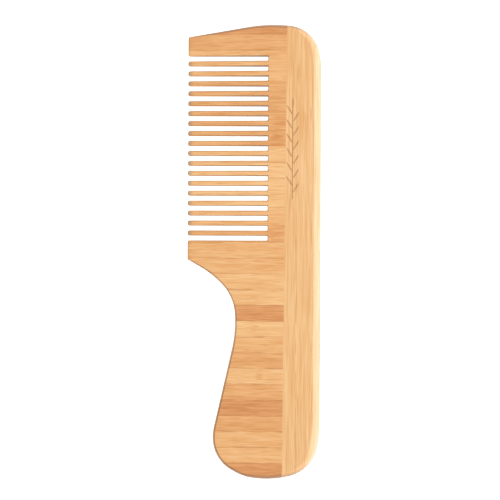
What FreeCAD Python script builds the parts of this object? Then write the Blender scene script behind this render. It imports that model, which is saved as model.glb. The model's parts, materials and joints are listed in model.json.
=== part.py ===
# Wide tooth comb, laminated from bamboo strips.
#
# Working frame of this script (millimetres): X runs across the comb from the
# tooth tips (-) to the spine (+), Y runs along it from the handle end (-) to
# the toothed end (+), Z is the thickness with the mid-plane at zero.  The
# finished comb is then laid flat on its back face.
#
# The comb is a wedge: thick along the spine, thin at the tips.  Both faces
# are planes that would meet in a line beyond the tips, called the apex here.
# The board is glued up from strips whose grain runs along the teeth.  Three
# lengthwise strips make the spine, joined to the board by a tongue.

import FreeCAD, Part
import math
import os

os.makedirs("parts", exist_ok=True)
V = FreeCAD.Vector

# ---- driving dimensions, in mm ---------------------------------------------
LENGTH = 200.0
WIDTH = 58.9
SPINE_THICK = 9.0        # thickness where the rounded spine edge begins
SPINE_EDGE_X = 25.9      # X of that line
WEDGE = 0.145            # thickness lost per mm towards the tips

TOOTH_COUNT = 18
TOOTH_PITCH = 4.40
SLOT_WIDTH = 2.17        # at the closed end
MOUTH_WIDTH = 2.07       # and between the tooth tips
SLOT_ROOT_X = 6.2        # closed end of the slots
LAST_TOOTH_Y = 7.96      # centre line of the tooth nearest the handle
SLOT_CORNER_R = 0.5
TIP_R = 0.85             # rounding of the tooth tips seen from the front
FLANK_CHAMFER = 0.25     # eased long edges of the teeth

GUARD_SEAM_Y = 4.0       # seam in the guard between teeth and handle
TOOTHED_STRIP = 1.6 * TOOTH_PITCH   # width of the cross strips above that seam
HANDLE_STRIP = 6.95      # and below it
SEAMS_ABOVE = 13
SEAMS_BELOW = 14

JOINT_X = (12.95, 14.45) # board to spine joint line, handle end and toothed end
INNER_X = (18.7, 18.8)   # seam between the first two spine strips
OUTER_X = (24.6, 26.8)   # seam between the last two spine strips
TONGUE_THICK = 2.4
TONGUE_LENGTH = 3.0
OVERLAP = 1.0            # how far the tongue block reaches back into the board

SPRIG_X = 17.1           # engraved sprig: stem line, ends, leaves
SPRIG_LOW_Y = 23.0
SPRIG_HIGH_Y = 62.5
SPRIG_STEM = 0.35
SPRIG_PAIRS = 6
LEAF_LENGTH = 5.2
LEAF_WIDTH = 0.8
LEAF_BELLY = 0.42        # widest point as a share of the leaf length
LEAF_SPLAY = 32.0        # degrees between leaf and stem
ENGRAVE_DEPTH = 0.3

# ---- sizes worked out from them --------------------------------------------
HALF_L = LENGTH / 2
TIP_X = -WIDTH / 2
BACK_X = WIDTH / 2
HALF_SLOPE = WEDGE / 2
APEX_X = SPINE_EDGE_X - SPINE_THICK / WEDGE
TILT = math.degrees(math.atan(HALF_SLOPE))
FIRST_SLOT_Y = LAST_TOOTH_Y - TOOTH_PITCH / 2
REACH = HALF_L + 20      # half size of cutting blocks, clear of the comb
PAST_TIPS = TIP_X - 3    # where the open ends of the cutters stop
PAST_BACK = BACK_X + 5   # outer limit of the last spine strip
CUTTER_CLEAR = 0.2       # how far bevel cutters rise above the face
LEAST_RADIUS = 0.25      # smallest corner radius left after insetting
CUT_TOLERANCE = 0.0001   # surfaces closer than this count as touching

# The outline as a polygon with rounded corners, listed clockwise.
# Each entry: X, Y, corner radius, and how wide the edge rounding is on the
# straight run that leaves this corner.
OUTLINE = (
    (TIP_X, 94.6, 0.8, 1.2),            # free corner of the end guard
    (5.6, HALF_L + 0.5, 68.1, 1.7),     # crest of the end curve
    (27.5, 98.6, 15.1, 3.1),            # shoulder beside the spine
    (BACK_X, 81.9, 31.6, 2.9),          # start of the straight spine
    (BACK_X, -79.7, 24.4, 3.3),         # end of the straight spine
    (26.8, -96.5, 16.6, 2.2),           # lower shoulder
    (8.3, -HALF_L - 1.0, 42.9, 1.6),    # bottom of the handle
    (-4.0, -99.6, 19.0, 1.3),
    (-18.0, -92.1, 16.0, 1.1),          # handle end, tooth side
    (-17.8, -79.5, 21.1, 1.0),
    (-8.0, -36.4, 57.9, 0.9),           # waist, a hollow curve
    (-8.5, -20.2, 21.3, 0.8),
    (-18.5, -10.1, 41.6, 0.8),
    (TIP_X, -3.7, 0.8, 2.0),            # corner of the handle guard
)

# The edge rounding is a circular nose, scaled to the local thickness.  Its
# radius is slightly more than the half thickness, which leaves a crisp line
# where the nose meets the flat face.
NOSE_RADIUS = 1.06
NOSE_LEVELS = (0.0, 0.32, 0.6, 0.8, 0.93, 1.0)


# ---- small geometry helpers ------------------------------------------------
def prism(points, z0, z1):
    """Straight-sided polygon in plan, standing from z0 to z1."""
    corners = [V(x, y, z0) for x, y in points]
    face = Part.Face(Part.makePolygon(corners + corners[:1]))
    return face.extrude(V(0, 0, z1 - z0))


def line_x(ends, y):
    """X of a slightly slanted lengthwise line at height y."""
    low, high = ends
    return low + (high - low) * (y + HALF_L) / LENGTH


def on_face(shape, side):
    """Put a shape drawn on z = 0 onto the front (1) or back (-1) face."""
    placed = shape.copy()
    placed.rotate(V(APEX_X, 0, 0), V(0, 1, 0), -side * TILT)
    return placed


def along_face(x):
    """Plan position x measured along the sloping face."""
    return APEX_X + (x - APEX_X) / math.cos(math.radians(TILT))


# ---- outer body ------------------------------------------------------------
def inset_fraction(level):
    """Share of the edge rounding width reached at a share of thickness."""
    def drop(v):
        return NOSE_RADIUS - math.sqrt(NOSE_RADIUS ** 2 - v * v)
    return drop(level) / drop(1.0)


def inset_line(a, b, amount):
    """Line from a to b moved inwards: a point on it and its direction."""
    dx = b[0] - a[0]
    dy = b[1] - a[1]
    run = math.hypot(dx, dy)
    start = (a[0] + amount * dy / run, a[1] - amount * dx / run)
    return start, (dx / run, dy / run)


def crossing(line_a, line_b):
    """Point where two lines meet."""
    (ax, ay), (ux, uy) = line_a
    (bx, by), (vx, vy) = line_b
    t = ((bx - ax) * vy - (by - ay) * vx) / (ux * vy - uy * vx)
    return ax + ux * t, ay + uy * t


def inset_corners(fraction):
    """Outline corners and radii after moving every edge inwards."""
    count = len(OUTLINE)
    lines = []
    for i in range(count):
        amount = OUTLINE[i][3] * fraction
        lines.append(inset_line(OUTLINE[i], OUTLINE[(i + 1) % count], amount))
    corners = []
    for i in range(count):
        before = lines[i - 1]
        after = lines[i]
        x, y = crossing(before, after)
        turn = before[1][0] * after[1][1] - before[1][1] * after[1][0]
        change = fraction * (OUTLINE[i - 1][3] + OUTLINE[i][3]) / 2
        radius = OUTLINE[i][2] + (change if turn > 0 else -change)
        corners.append((x, y, max(radius, LEAST_RADIUS)))
    return corners


def rounded_wire(corners):
    """Closed wire of straight runs joined by tangent arcs."""
    count = len(corners)
    arcs = []
    for i in range(count):
        here = V(corners[i][0], corners[i][1], 0)
        before = V(corners[i - 1][0], corners[i - 1][1], 0) - here
        after = V(corners[(i + 1) % count][0], corners[(i + 1) % count][1], 0) - here
        before.normalize()
        after.normalize()
        half = before.getAngle(after) / 2
        radius = corners[i][2]
        reach = radius / math.tan(half)
        inward = (before + after).normalize()
        middle = here + inward * (radius / math.sin(half) - radius)
        arcs.append((here + before * reach, middle, here + after * reach))
    edges = []
    for i in range(count):
        start, middle, end = arcs[i]
        edges.append(Part.Arc(start, middle, end).toShape())
        edges.append(Part.LineSegment(end, arcs[(i + 1) % count][0]).toShape())
    return Part.Wire(edges)


def body_section(level):
    """Outline on the plane lying at a share of the local half thickness."""
    wire = rounded_wire(inset_corners(inset_fraction(abs(level))))
    k = level * HALF_SLOPE
    shear = FreeCAD.Matrix(1, 0, 0, 0, 0, 1, 0, 0, k, 0, 1, -k * APEX_X, 0, 0, 0, 1)
    return wire.transformGeometry(shear)


def outer_body():
    """Wedge with the comb's outline and its rounded edges."""
    levels = [-v for v in reversed(NOSE_LEVELS[1:])] + list(NOSE_LEVELS)
    return Part.makeLoft([body_section(v) for v in levels], True, False)


# ---- slots between the teeth -----------------------------------------------
def slot_half(x):
    """Half width of a slot, slightly less towards the mouth."""
    share = (SLOT_ROOT_X - x) / (SLOT_ROOT_X - TIP_X)
    return (SLOT_WIDTH + (MOUTH_WIDTH - SLOT_WIDTH) * share) / 2


def slot_cutter(y):
    """Slot with rounded inner corners and a flared mouth."""
    r = SLOT_CORNER_R
    bend = r * (1 - math.cos(math.pi / 4))
    flare = TIP_R * (1 - math.cos(math.pi / 4))
    root = SLOT_ROOT_X - r
    neck = TIP_X + TIP_R
    half = slot_half(root)
    narrow = slot_half(neck)
    wide = narrow + TIP_R
    edges = []
    for s in (1, -1):
        inner = V(SLOT_ROOT_X, y + s * (half - r), 0)
        mid = V(SLOT_ROOT_X - bend, y + s * (half - bend), 0)
        side = V(root, y + s * half, 0)
        throat = V(neck, y + s * narrow, 0)
        flared = V(TIP_X + flare, y + s * (narrow + flare), 0)
        mouth = V(TIP_X, y + s * wide, 0)
        open_end = V(PAST_TIPS, y + s * wide, 0)
        edges.append(Part.Arc(inner, mid, side).toShape())
        edges.append(Part.LineSegment(side, throat).toShape())
        edges.append(Part.Arc(throat, flared, mouth).toShape())
        edges.append(Part.LineSegment(mouth, open_end).toShape())
    root_a = V(SLOT_ROOT_X, y - half + r, 0)
    root_b = V(SLOT_ROOT_X, y + half - r, 0)
    edges.append(Part.LineSegment(root_a, root_b).toShape())
    open_a = V(PAST_TIPS, y - wide, 0)
    open_b = V(PAST_TIPS, y + wide, 0)
    edges.append(Part.LineSegment(open_a, open_b).toShape())
    wire = Part.Wire(Part.__sortEdges__(edges))
    cutter = Part.Face(wire).extrude(V(0, 0, 2 * SPINE_THICK))
    cutter.translate(V(0, 0, -SPINE_THICK))
    return cutter


def slot_rim_cutter(y, side):
    """Shallow 45 degree bevel around a slot on one face."""
    root = along_face(SLOT_ROOT_X)

    def trapezium(grow, z):
        half = slot_half(SLOT_ROOT_X) + grow
        mouth = slot_half(PAST_TIPS) + grow
        corners = [
            V(PAST_TIPS, y - mouth, z),
            V(root + grow, y - half, z),
            V(root + grow, y + half, z),
            V(PAST_TIPS, y + mouth, z),
        ]
        return Part.makePolygon(corners + corners[:1])

    deep = trapezium(-CUTTER_CLEAR, -side * (FLANK_CHAMFER + CUTTER_CLEAR))
    high = trapezium(FLANK_CHAMFER + CUTTER_CLEAR, side * CUTTER_CLEAR)
    return on_face(Part.makeLoft([deep, high], True, True), side)


# ---- engraved sprig --------------------------------------------------------
def leaf(x, y, length, angle, width):
    """Pointed leaf from its stalk end, drawn flat at z = 0."""
    a = math.radians(angle)
    along = V(math.cos(a), math.sin(a), 0)
    across = V(-along.y, along.x, 0)
    base = V(x, y, 0)
    tip = base + along * length
    belly = base + along * (LEAF_BELLY * length)
    one = Part.Arc(base, belly + across * (width / 2), tip).toShape()
    two = Part.Arc(tip, belly - across * (width / 2), base).toShape()
    return Part.Face(Part.Wire([one, two]))


def sprig_cutter():
    """Thin stem with alternating bamboo leaves, sunk into the front face."""
    stem_x = along_face(SPRIG_X)
    half = SPRIG_STEM / 2
    low = SPRIG_LOW_Y
    high = SPRIG_HIGH_Y
    corners = [
        V(stem_x - half, low, 0),
        V(stem_x + half, low, 0),
        V(stem_x + half, high, 0),
        V(stem_x - half, high, 0),
    ]
    faces = [Part.Face(Part.makePolygon(corners + corners[:1]))]
    step = (high - low - LEAF_LENGTH) / (SPRIG_PAIRS - 0.5)
    for i in range(SPRIG_PAIRS):
        y = low + LEAF_LENGTH / 2 + i * step
        faces.append(leaf(stem_x, y, LEAF_LENGTH, 90 - LEAF_SPLAY, LEAF_WIDTH))
        faces.append(leaf(stem_x, y + step / 2, LEAF_LENGTH, 90 + LEAF_SPLAY, LEAF_WIDTH))
    faces.append(leaf(stem_x, high - half, LEAF_LENGTH, 90, LEAF_WIDTH))
    solids = []
    for face in faces:
        lowered = face.copy()
        lowered.translate(V(0, 0, -ENGRAVE_DEPTH))
        solids.append(lowered.extrude(V(0, 0, 2 * ENGRAVE_DEPTH)))
    joined = solids[0].multiFuse(solids[1:])
    return on_face(joined, 1)


def slot_heights():
    """Y of the centre line of every slot, from the handle end up."""
    return [FIRST_SLOT_Y + i * TOOTH_PITCH for i in range(TOOTH_COUNT + 1)]


def carved_body():
    """Outer body with slots, eased tooth edges and the engraving."""
    body = outer_body()
    for y in slot_heights():
        tools = [slot_cutter(y), slot_rim_cutter(y, 1), slot_rim_cutter(y, -1)]
        slotted = body.cut(tools, CUT_TOLERANCE)
        least = SLOT_WIDTH * (SLOT_ROOT_X - TIP_X)
        if body.Volume - slotted.Volume < least:
            raise ValueError("the slot at y = %.2f is not cut through" % y)
        body = slotted
    return body.cut(sprig_cutter())


# ---- lamination ------------------------------------------------------------
def seam_heights():
    """Y of every cut between cross strips, from the toothed end down."""
    above = [GUARD_SEAM_Y + k * TOOTHED_STRIP for k in range(SEAMS_ABOVE, 0, -1)]
    below = [GUARD_SEAM_Y - k * HANDLE_STRIP for k in range(SEAMS_BELOW + 1)]
    return [REACH] + above + below + [-REACH]


def band(left, right, y0, y1, z0, z1):
    """Block between two slanted lengthwise lines."""
    points = [
        (line_x(left, y0), y0),
        (line_x(right, y0), y0),
        (line_x(right, y1), y1),
        (line_x(left, y1), y1),
    ]
    return prism(points, z0, z1)


def shifted(ends, amount):
    """The same lengthwise line moved sideways."""
    return ends[0] + amount, ends[1] + amount


def board_region(y0, y1):
    """Space of one cross strip, with its share of the tongue."""
    deep = SPINE_THICK
    far = (PAST_TIPS, PAST_TIPS)
    board = band(far, JOINT_X, y0, y1, -deep, deep)
    half = TONGUE_THICK / 2
    tongue = band(shifted(JOINT_X, -OVERLAP), shifted(JOINT_X, TONGUE_LENGTH), y0, y1, -half, half)
    return board.fuse(tongue).removeSplitter()


def spine_region(left, right):
    """Space of one lengthwise spine strip."""
    return band(left, right, -REACH, REACH, -SPINE_THICK, SPINE_THICK)


def laminated_parts(body):
    """Every glued strip as its own solid, by name."""
    parts = {}
    heights = seam_heights()
    for i in range(len(heights) - 1):
        region = board_region(heights[i + 1], heights[i])
        parts["cross_strip_%02d" % (i + 1)] = body.common(region)
    far = (PAST_BACK, PAST_BACK)
    half = TONGUE_THICK / 2
    groove = band(shifted(JOINT_X, -OVERLAP), shifted(JOINT_X, TONGUE_LENGTH), -REACH, REACH, -half, half)
    inner = spine_region(JOINT_X, INNER_X).cut(groove)
    parts["spine_strip_inner"] = body.common(inner)
    parts["spine_strip_middle"] = body.common(spine_region(INNER_X, OUTER_X))
    parts["spine_strip_outer"] = body.common(spine_region(OUTER_X, far))
    return parts


# ---- laying the comb down and writing the files ----------------------------
def laid_flat(shape):
    """Turn about the apex line so the back face lies on z = 0."""
    turned = shape.copy()
    turned.rotate(V(APEX_X, 0, 0), V(0, 1, 0), -TILT)
    return turned


def only_solid(name, shape):
    """The single solid of a cut result."""
    if len(shape.Solids) != 1:
        raise ValueError("%s has %d solids" % (name, len(shape.Solids)))
    solid = shape.Solids[0]
    if not solid.isValid():
        raise ValueError("%s is not valid" % name)
    return solid


def main():
    body = carved_body()
    extent = laid_flat(body).optimalBoundingBox(False, False)
    centre = V(-extent.Center.x, -extent.Center.y, 0)
    for name, shape in laminated_parts(body).items():
        solid = laid_flat(only_solid(name, shape))
        solid.translate(centre)
        solid.exportStep("parts/" + name + ".step")
        print(name, round(solid.Volume, 1), len(solid.Faces))
    size = (extent.XLength, extent.YLength, extent.ZLength)
    print("size", [round(v, 2) for v in size], "back face z", round(extent.ZMin, 4))


main()
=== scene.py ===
# Looks of the wide tooth comb: one bamboo material per glued strip, a pale
# floor, soft studio light and a camera straight above.
import json
import math
import random

import bpy
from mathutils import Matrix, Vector


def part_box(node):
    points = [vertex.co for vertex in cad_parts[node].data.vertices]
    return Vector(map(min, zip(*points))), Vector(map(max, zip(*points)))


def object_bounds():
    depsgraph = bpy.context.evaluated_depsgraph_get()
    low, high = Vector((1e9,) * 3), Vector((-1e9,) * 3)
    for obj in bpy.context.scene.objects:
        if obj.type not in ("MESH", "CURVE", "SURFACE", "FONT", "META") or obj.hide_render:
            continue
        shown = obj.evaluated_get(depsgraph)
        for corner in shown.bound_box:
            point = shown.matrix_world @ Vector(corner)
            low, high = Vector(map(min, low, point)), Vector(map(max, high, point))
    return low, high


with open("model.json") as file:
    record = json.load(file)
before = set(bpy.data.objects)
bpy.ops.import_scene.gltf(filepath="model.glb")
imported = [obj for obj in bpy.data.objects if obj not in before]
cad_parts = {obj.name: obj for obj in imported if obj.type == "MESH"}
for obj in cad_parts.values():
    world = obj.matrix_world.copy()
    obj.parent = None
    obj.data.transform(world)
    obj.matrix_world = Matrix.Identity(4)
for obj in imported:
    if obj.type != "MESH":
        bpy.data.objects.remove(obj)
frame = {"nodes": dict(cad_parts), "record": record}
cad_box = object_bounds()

MM = 0.001

# ---- the comb, in millimetres -------------------------------------------------
WEDGE = 0.145                 # thickness gained per unit of width
FACE_TILT = 2 * math.atan(WEDGE / 2)
TIP_X = -29.3                 # within 0.1 of the tooth tips
TEETH_Y = (6.0, 85.2)         # middle of the first and of the last slot
TOOTHED = ["cross_strip_%02d" % number for number in range(3, 15)]
ENGRAVED = ("spine_strip_inner", "spine_strip_middle")
ENGRAVED_DEPTH = (0.12, 0.26)  # below the front face: tint starts, tint is full

# ---- colours, linear RGB --------------------------------------------------------
# Light and dark part of the grain, by material slot.
TONES = {
    "bamboo_pale": ((0.91, 0.560, 0.265), (0.79, 0.405, 0.140)),
    "bamboo_honey": ((0.88, 0.510, 0.225), (0.76, 0.360, 0.115)),
    "bamboo_amber": ((0.85, 0.455, 0.185), (0.69, 0.305, 0.090)),
    "bamboo_toasted": ((0.78, 0.365, 0.135), (0.60, 0.230, 0.065)),
    "bamboo_spine": ((0.90, 0.570, 0.275), (0.77, 0.400, 0.145)),
}
# The same pair as painted highlight on the rounded edge and as painted shade on the outer side
# of the spine.
NOSE_PAINTED_HIGHLIGHT = ((0.86, 0.560, 0.360), (0.76, 0.430, 0.230))
SPINE_SIDE_PAINTED_SHADE = ((0.62, 0.370, 0.180), (0.47, 0.240, 0.090))
SEAM_BROWN = (0.52, 0.190, 0.050)
DASH_ORANGE = (0.66, 0.250, 0.065)
ENGRAVED_BROWN = (0.58, 0.280, 0.100)
# Brown of end grain, also used as painted shade on the edges and slot walls of the cross strips.
END_GRAIN_AND_SHADE_BROWN = (0.26, 0.130, 0.055)
# Grey painted shade on the tooth tips.
TIP_PAINTED_SHADE_GREY = (0.27, 0.230, 0.190)

# How much of each tint shows where it is full.
DASH_STRENGTH = 0.60
SEAM_STRENGTH = 0.62
TOOTH_SEAM_STRENGTH = 0.40
# Painted highlight on the spine's rounded edge and painted shade on its outer side.
NOSE_HIGHLIGHT_STRENGTH = 0.70
SIDE_SHADE_STRENGTH = 0.70
TIP_SHADE_STRENGTH = 0.45
PORE_STRENGTH = 0.50
END_GRAIN_AND_SHADE_STRENGTH = 0.85
ENGRAVED_STRENGTH = 0.40

# ---- grain ------------------------------------------------------------------------
# Features of the grain: length along it and width across it, in mm.
BROAD_BANDS = (26.0, 2.6)
STREAKS = (18.0, 0.55)
FIBRES = (9.0, 0.26)
DASHES = (10.0, 0.40)
SEAM_BREAKS = (9.0, 3.0)
CULM_RAGS = (400.0, 0.45)
CULM_PATCHES = (9.0, 1.4)
PORES = (60.0, 0.28)
SPINE_RUN = 1.6               # features of the spine strips are this much longer
RIBBON_DEPTH = 5.0            # depth of a feature as a multiple of its width

# Noise values where a feature starts to show and where it is full.
DASH_RANGE = (0.66, 0.80)
SEAM_BREAK_RANGE = (0.38, 0.62)
CULM_PATCH_RANGE = (0.36, 0.62)
PORE_RANGE = (0.40, 0.62)

# How far a tint reaches: full up to the first distance, gone at the second.
SEAM_REACH = (0.10, 0.50)     # mm from the glued edge
TIP_SHADE_REACH = (0.6, 2.8)        # mm from the tooth tips
CULM_REACH = (0.3, 1.2)       # half widths from the middle of the culm node
CULM_RAGGEDNESS = 2.4         # half widths that its edge wanders

SWAY_PACE = (0.04, 0.10)      # waves per mm along and across the grain
SWAY_WIDTH = 0.35             # mm
FIRST_SEED = 100
ALONG_SHIFT = 300             # mm, largest random shift of a strip's grain
DEPTH_SHIFT = 50

# Share of the bands, streaks and fibres in the tone, and the sums that give
# the light and the dark tone.
BAND_SHARE = 0.60
STREAK_SHARE = 0.85
FIBRE_SHARE = 0.75
TONE_RANGE = (0.80, 1.40)

# Strips that hold a bamboo joint (culm node): its place along the grain and
# its half width, both in mm, and how dark it is.
CULM_NODES = {
    "cross_strip_07": (11.5, 3.6, 0.75),
    "cross_strip_08": (9.5, 3.0, 0.85),
    "cross_strip_01": (8.0, 7.0, 0.50),
    "cross_strip_14": (9.5, 3.6, 0.50),
    "cross_strip_23": (2.5, 1.8, 0.40),
}

# Ranges of the surface normal's part along an axis, 0 to 1.
NOSE_NORMAL_X = (0.18, 0.55)
SIDE_NORMAL_X = (0.82, 0.98)
SPINE_END_NORMAL_Y = (0.45, 0.90)
CROSS_FACE_NORMAL_Z = (0.80, 0.965)
ENGRAVED_NORMAL_Z = (0.90, 0.96)

# ---- satin finish -----------------------------------------------------------------
LEAST_ROUGHNESS = 0.36
STREAK_ROUGHNESS = 0.16       # added where a streak is full
COAT_WEIGHT = 0.2
COAT_ROUGHNESS = 0.28
RELIEF_STRENGTH = 0.35
RELIEF_HEIGHT = 0.00006       # metres
DASH_RELIEF = -0.8            # dashes are sunk, fibres stand proud

# ---- stage, light and camera, in metres -------------------------------------------
FLOOR_SIZE = 20.0
FLOOR_DROP = 0.00005
FLOOR_GREY = 0.55
SURROUND_STRENGTH = 0.80
KEY_PLACE = (0.75, 0.06, 0.52)
KEY_SIDE = 0.9
KEY_WATTS = 6.2
KEY_COLOUR = (1.0, 0.985, 0.96)
SENSOR_MM = 36.0
CAMERA_HEIGHT = 0.85
FIELD_WIDTH = 0.22034
CAMERA_OFF = (-0.00172, 0.00075)
CAMERA_ROLL = 0.27            # degrees


# ---- node graph helper ------------------------------------------------------------
class Graph:
    """Short calls for building one material's node tree."""

    def __init__(self, name):
        self.material = bpy.data.materials.new(name)
        self.material.use_nodes = True
        self.tree = self.material.node_tree
        self.tree.nodes.clear()

    def node(self, kind, **settings):
        made = self.tree.nodes.new(kind)
        for key, value in settings.items():
            setattr(made, key, value)
        return made

    def put(self, socket, value):
        """Link a socket, or set a plain value."""
        if isinstance(value, bpy.types.NodeSocket):
            self.tree.links.new(value, socket)
        else:
            socket.default_value = value

    def math(self, operation, a, b=0.0):
        made = self.node("ShaderNodeMath", operation=operation)
        self.put(made.inputs[0], a)
        self.put(made.inputs[1], b)
        return made.outputs[0]

    def add(self, a, b):
        return self.math("ADD", a, b)

    def minus(self, a, b):
        return self.math("SUBTRACT", a, b)

    def times(self, a, b):
        return self.math("MULTIPLY", a, b)

    def ramp(self, value, low, high):
        """Smooth step from 0 at low to 1 at high."""
        made = self.node("ShaderNodeMapRange", interpolation_type="SMOOTHSTEP")
        self.put(made.inputs["Value"], value)
        self.put(made.inputs["From Min"], low)
        self.put(made.inputs["From Max"], high)
        return made.outputs["Result"]

    def mix(self, factor, a, b):
        """Colour a where factor is 0, colour b where it is 1."""
        made = self.node("ShaderNodeMix", data_type="RGBA")
        self.put(made.inputs["Factor"], factor)
        colour_inputs = [s for s in made.inputs if s.type == "RGBA"]
        for socket, value in zip(colour_inputs, (a, b)):
            if isinstance(value, tuple):
                value = value + (1.0,)
            self.put(socket, value)
        return [s for s in made.outputs if s.type == "RGBA"][0]

    def combine(self, x, y, z):
        made = self.node("ShaderNodeCombineXYZ")
        for socket, value in zip(made.inputs, (x, y, z)):
            self.put(socket, value)
        return made.outputs[0]

    def split(self, vector):
        made = self.node("ShaderNodeSeparateXYZ")
        self.put(made.inputs[0], vector)
        return made.outputs

    def noise(self, vector, detail, roughness=0.5):
        """Noise between about 0 and 1, with features about one unit long."""
        made = self.node("ShaderNodeTexNoise", noise_dimensions="3D")
        self.put(made.inputs["Vector"], vector)
        made.inputs["Scale"].default_value = 1.0
        made.inputs["Detail"].default_value = detail
        made.inputs["Roughness"].default_value = roughness
        return made.outputs[0]

    def surface(self, shader):
        """End the tree with a shader."""
        out = self.node("ShaderNodeOutputMaterial")
        self.put(out.inputs["Surface"], shader.outputs[0])


# ---- coordinates --------------------------------------------------------------------
def position_mm(g):
    """X, Y and Z of the surface point in millimetres."""
    place = g.node("ShaderNodeTexCoord").outputs["Object"]
    return [g.times(axis, 1000.0) for axis in g.split(place)]


def facing(g, axis):
    """How far the surface normal lies along an axis, 0 to 1, either way."""
    normal = g.node("ShaderNodeNewGeometry").outputs["Normal"]
    return g.math("ABSOLUTE", g.split(normal)[axis])


class Strip:
    """What a strip's material needs: grain direction, glued edges, tone and seed."""

    def __init__(self, name, slot, seed):
        low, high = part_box(name)
        self.name = name
        self.seed = seed
        self.lengthwise = name.startswith("spine")
        across = 0 if self.lengthwise else 1
        self.edges = (low[across] / MM, high[across] / MM)
        self.light, self.dark = TONES[slot]
        self.run = SPINE_RUN if self.lengthwise else 1.0


class Grain:
    """A strip's fibre coordinates in mm, slightly wavy across the grain."""

    def __init__(self, g, strip):
        self.g = g
        self.x, self.y, self.z = position_mm(g)
        self.straight_along = self.y if strip.lengthwise else self.x
        self.straight_across = self.x if strip.lengthwise else self.y
        shift = random.Random(strip.seed)
        self.along = g.add(self.straight_along, shift.uniform(-ALONG_SHIFT, ALONG_SHIFT))
        self.depth = g.add(self.z, shift.uniform(-DEPTH_SHIFT, DEPTH_SHIFT))
        self.across = g.add(self.straight_across, self.sway())

    def sway(self):
        """Slow sideways wander of the fibres."""
        g = self.g
        along = g.times(self.along, SWAY_PACE[0])
        across = g.times(self.straight_across, SWAY_PACE[1])
        wave = g.noise(g.combine(along, across, self.depth), detail=1.0)
        return g.times(g.minus(wave, 0.5), SWAY_WIDTH)

    def noise(self, feature, detail, roughness=0.5, run=1.0):
        """Noise with features of a given length and width, in mm.

        They reach deeper than they are wide, so the sloping face cuts long lines.
        """
        g = self.g
        length, width = feature
        vector = g.combine(
            g.math("DIVIDE", self.along, length * run),
            g.math("DIVIDE", self.across, width),
            g.math("DIVIDE", self.depth, width * RIBBON_DEPTH),
        )
        return g.noise(vector, detail, roughness)


# ---- parts of the bamboo ------------------------------------------------------------
def fibre_shade(g, streaks, fibres, grain, strip):
    """0 in the light part of the grain, 1 in the dark part."""
    bands = grain.noise(BROAD_BANDS, detail=2.0, run=strip.run)
    shade = g.add(g.times(bands, BAND_SHARE), g.times(streaks, STREAK_SHARE))
    shade = g.add(shade, g.times(fibres, FIBRE_SHARE))
    return g.ramp(shade, *TONE_RANGE)


def culm_node_mask(g, grain, culm):
    """Ragged dark patch where a bamboo joint crosses the strip."""
    centre, half, strength = culm
    ragged = g.minus(grain.noise(CULM_RAGS, detail=1.0), 0.5)
    ragged = g.times(ragged, CULM_RAGGEDNESS * half)
    away = g.minus(g.add(grain.straight_along, ragged), centre)
    away = g.math("ABSOLUTE", away)
    blot = g.minus(1.0, g.ramp(away, CULM_REACH[0] * half, CULM_REACH[1] * half))
    patchy = g.ramp(grain.noise(CULM_PATCHES, detail=1.0), *CULM_PATCH_RANGE)
    return g.times(g.times(blot, patchy), strength)


def seam_mask(g, grain, strip):
    """Uneven dark line along a strip's glued edges."""
    low, high = strip.edges
    from_low = g.minus(grain.straight_across, low)
    from_high = g.minus(high, grain.straight_across)
    nearest = g.math("MINIMUM", from_low, from_high)
    line = g.minus(1.0, g.ramp(nearest, *SEAM_REACH))
    broken = g.ramp(grain.noise(SEAM_BREAKS, detail=2.0), *SEAM_BREAK_RANGE)
    strength = TOOTH_SEAM_STRENGTH if strip.name in TOOTHED else SEAM_STRENGTH
    return g.times(g.times(line, broken), strength)


def tooth_tip_painted_shade_mask(g, grain):
    """Painted shade on the ends of the teeth, not of the guards."""
    tip = g.minus(1.0, g.ramp(g.minus(grain.x, TIP_X), *TIP_SHADE_REACH))
    tip = g.times(tip, g.math("GREATER_THAN", grain.y, TEETH_Y[0]))
    tip = g.times(tip, g.math("LESS_THAN", grain.y, TEETH_Y[1]))
    return g.times(tip, TIP_SHADE_STRENGTH)


def end_grain_and_wall_shade_mask(g, strip):
    """A spine strip's ends, where the fibres are cut, and all edges and slot walls of a cross
    strip: end grain at the cut ends, painted shade on the long-grain walls and edges.
    """
    if strip.lengthwise:
        cut = g.ramp(facing(g, 1), *SPINE_END_NORMAL_Y)
    else:
        cut = g.minus(1.0, g.ramp(facing(g, 2), *CROSS_FACE_NORMAL_Z))
    return g.times(cut, END_GRAIN_AND_SHADE_STRENGTH)


def end_grain_and_shade_colour(g, grain, strip):
    """Dark brown with pores of the strip's own tone, for end grain and for the painted shade on
    long-grain walls.
    """
    pores = g.ramp(grain.noise(PORES, detail=2.0, roughness=0.7), *PORE_RANGE)
    return g.mix(g.times(pores, PORE_STRENGTH), END_GRAIN_AND_SHADE_BROWN, strip.dark)


def spine_painted_highlight_and_shade(g, colour, shade):
    """Painted highlight, a pale cream, on the rounded edge of the spine, and painted shade on
    its outer side.
    """
    # Painted highlight on the rounded edge of the spine.
    nose_highlight = g.times(g.ramp(facing(g, 0), *NOSE_NORMAL_X), NOSE_HIGHLIGHT_STRENGTH)
    colour = g.mix(nose_highlight, colour, g.mix(shade, *NOSE_PAINTED_HIGHLIGHT))
    # Painted shade on the outer side of the spine.
    side = g.times(g.ramp(facing(g, 0), *SIDE_NORMAL_X), SIDE_SHADE_STRENGTH)
    return g.mix(side, colour, g.mix(shade, *SPINE_SIDE_PAINTED_SHADE))


def face_apex_x():
    """X in mm where the plane of the front face meets the back plane."""
    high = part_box("spine_strip_middle")[1]
    mesh = frame["nodes"]["spine_strip_middle"].data
    slope = math.tan(FACE_TILT)
    return min(v.co.x - v.co.z / slope for v in mesh.vertices if v.co.z > 0.9 * high.z) / MM


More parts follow.
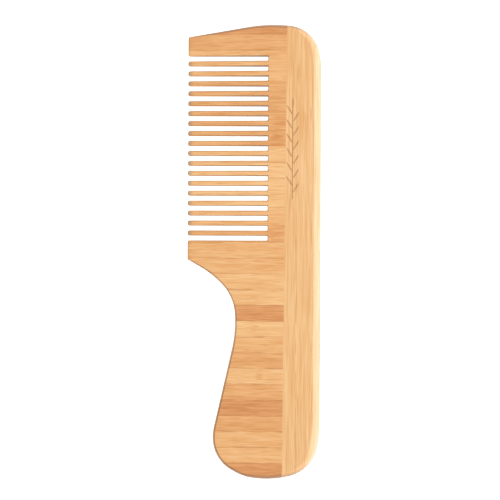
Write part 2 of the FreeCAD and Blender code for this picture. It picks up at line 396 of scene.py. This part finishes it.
def engraving_mask(g, grain):
    """Surfaces sunk below the sloping front face."""
    face = g.times(g.minus(grain.x, face_apex_x()), math.tan(FACE_TILT))
    sunk = g.ramp(g.minus(face, grain.z), *ENGRAVED_DEPTH)
    level = g.ramp(facing(g, 2), *ENGRAVED_NORMAL_Z)
    return g.times(g.times(sunk, level), ENGRAVED_STRENGTH)


def satin_wood(g, colour, streaks, fibres, dashes):
    """Lightly waxed wood with a fine relief of fibres."""
    shader = g.node("ShaderNodeBsdfPrincipled")
    g.put(shader.inputs["Base Color"], colour)
    g.put(shader.inputs["Roughness"], g.add(LEAST_ROUGHNESS, g.times(streaks, STREAK_ROUGHNESS)))
    shader.inputs["Specular IOR Level"].default_value = 0.5
    shader.inputs["Coat Weight"].default_value = COAT_WEIGHT
    shader.inputs["Coat Roughness"].default_value = COAT_ROUGHNESS
    bump = g.node("ShaderNodeBump")
    bump.inputs["Strength"].default_value = RELIEF_STRENGTH
    bump.inputs["Distance"].default_value = RELIEF_HEIGHT
    g.put(bump.inputs["Height"], g.add(fibres, g.times(dashes, DASH_RELIEF)))
    g.put(shader.inputs["Normal"], bump.outputs[0])
    return shader


def bamboo(strip):
    """Bamboo material of one strip."""
    g = Graph("bamboo_of_" + strip.name)
    grain = Grain(g, strip)
    streaks = grain.noise(STREAKS, detail=2.0, roughness=0.55, run=strip.run)
    fibres = grain.noise(FIBRES, detail=1.0, run=strip.run)
    shade = fibre_shade(g, streaks, fibres, grain, strip)
    colour = g.mix(shade, strip.light, strip.dark)

    dashes = g.ramp(grain.noise(DASHES, detail=0.0, run=strip.run), *DASH_RANGE)
    colour = g.mix(g.times(dashes, DASH_STRENGTH), colour, DASH_ORANGE)
    if strip.name in CULM_NODES:
        colour = g.mix(culm_node_mask(g, grain, CULM_NODES[strip.name]), colour, DASH_ORANGE)
    colour = g.mix(seam_mask(g, grain, strip), colour, SEAM_BROWN)
    if strip.lengthwise:
        # Painted highlight and painted shade on the spine's rounded edge and outer side.
        colour = spine_painted_highlight_and_shade(g, colour, shade)
    if strip.name in TOOTHED:
        # Painted shade on the tooth tips.
        colour = g.mix(tooth_tip_painted_shade_mask(g, grain), colour, TIP_PAINTED_SHADE_GREY)
    # End grain colour, and painted shade on the cross strips' edges and slot walls.
    colour = g.mix(end_grain_and_wall_shade_mask(g, strip), colour, end_grain_and_shade_colour(g, grain, strip))
    if strip.name in ENGRAVED:
        colour = g.mix(engraving_mask(g, grain), colour, ENGRAVED_BROWN)

    g.surface(satin_wood(g, colour, streaks, fibres, dashes))
    return g.material


def dress_strips():
    """Give every strip its own bamboo."""
    slots = {s["node"]: s["material_slot"] for s in frame["record"]["subparts"]}
    for index, name in enumerate(sorted(frame["nodes"])):
        strip = Strip(name, slots[name], FIRST_SEED + index)
        materials = frame["nodes"][name].data.materials
        materials.clear()
        materials.append(bamboo(strip))


# ---- stage, light and camera ----------------------------------------------------------
def glowing_white():
    """Matt white that stays even across the whole floor."""
    g = Graph("floor_white")
    shader = g.node("ShaderNodeBsdfPrincipled")
    shader.inputs["Base Color"].default_value = (FLOOR_GREY, FLOOR_GREY, FLOOR_GREY, 1)
    shader.inputs["Roughness"].default_value = 0.9
    shader.inputs["Specular IOR Level"].default_value = 0.1
    shader.inputs["Emission Color"].default_value = (1, 1, 1, 1)
    shader.inputs["Emission Strength"].default_value = 1.0
    g.surface(shader)
    return g.material


def make_floor():
    """Pale seamless floor just under the comb."""
    half = FLOOR_SIZE / 2
    z = -FLOOR_DROP
    corners = [(-half, -half, z), (half, -half, z), (half, half, z), (-half, half, z)]
    mesh = bpy.data.meshes.new("floor")
    mesh.from_pydata(corners, [], [(0, 1, 2, 3)])
    mesh.materials.append(glowing_white())
    floor = bpy.data.objects.new("floor", mesh)
    bpy.context.scene.collection.objects.link(floor)


def make_surround():
    """Even white light from all around."""
    world = bpy.data.worlds.new("surround")
    world.use_nodes = True
    background = world.node_tree.nodes["Background"]
    background.inputs["Color"].default_value = (1, 1, 1, 1)
    background.inputs["Strength"].default_value = SURROUND_STRENGTH
    bpy.context.scene.world = world


def make_key_light():
    """Soft box on the spine side, aimed at the comb."""
    data = bpy.data.lights.new("key", "AREA")
    data.shape = "SQUARE"
    data.size = KEY_SIDE
    data.energy = KEY_WATTS
    data.color = KEY_COLOUR
    light = bpy.data.objects.new("key", data)
    light.location = KEY_PLACE
    light.rotation_euler = (-Vector(KEY_PLACE)).to_track_quat("-Z", "Y").to_euler()
    bpy.context.scene.collection.objects.link(light)


def make_camera():
    """Straight above the comb, near enough for the slot walls to show."""
    data = bpy.data.cameras.new("camera")
    data.sensor_width = SENSOR_MM
    data.lens = SENSOR_MM * CAMERA_HEIGHT / FIELD_WIDTH
    data.clip_end = 20.0
    camera = bpy.data.objects.new("camera", data)
    middle = (cad_box[0][2] + cad_box[1][2]) / 2
    camera.location = (CAMERA_OFF[0], CAMERA_OFF[1], middle + CAMERA_HEIGHT)
    camera.rotation_euler = (0, 0, math.radians(CAMERA_ROLL))
    bpy.context.scene.collection.objects.link(camera)
    bpy.context.scene.camera = camera


dress_strips()
make_floor()
make_surround()
make_key_light()
make_camera()
bpy.context.scene.view_settings.view_transform = "Standard"
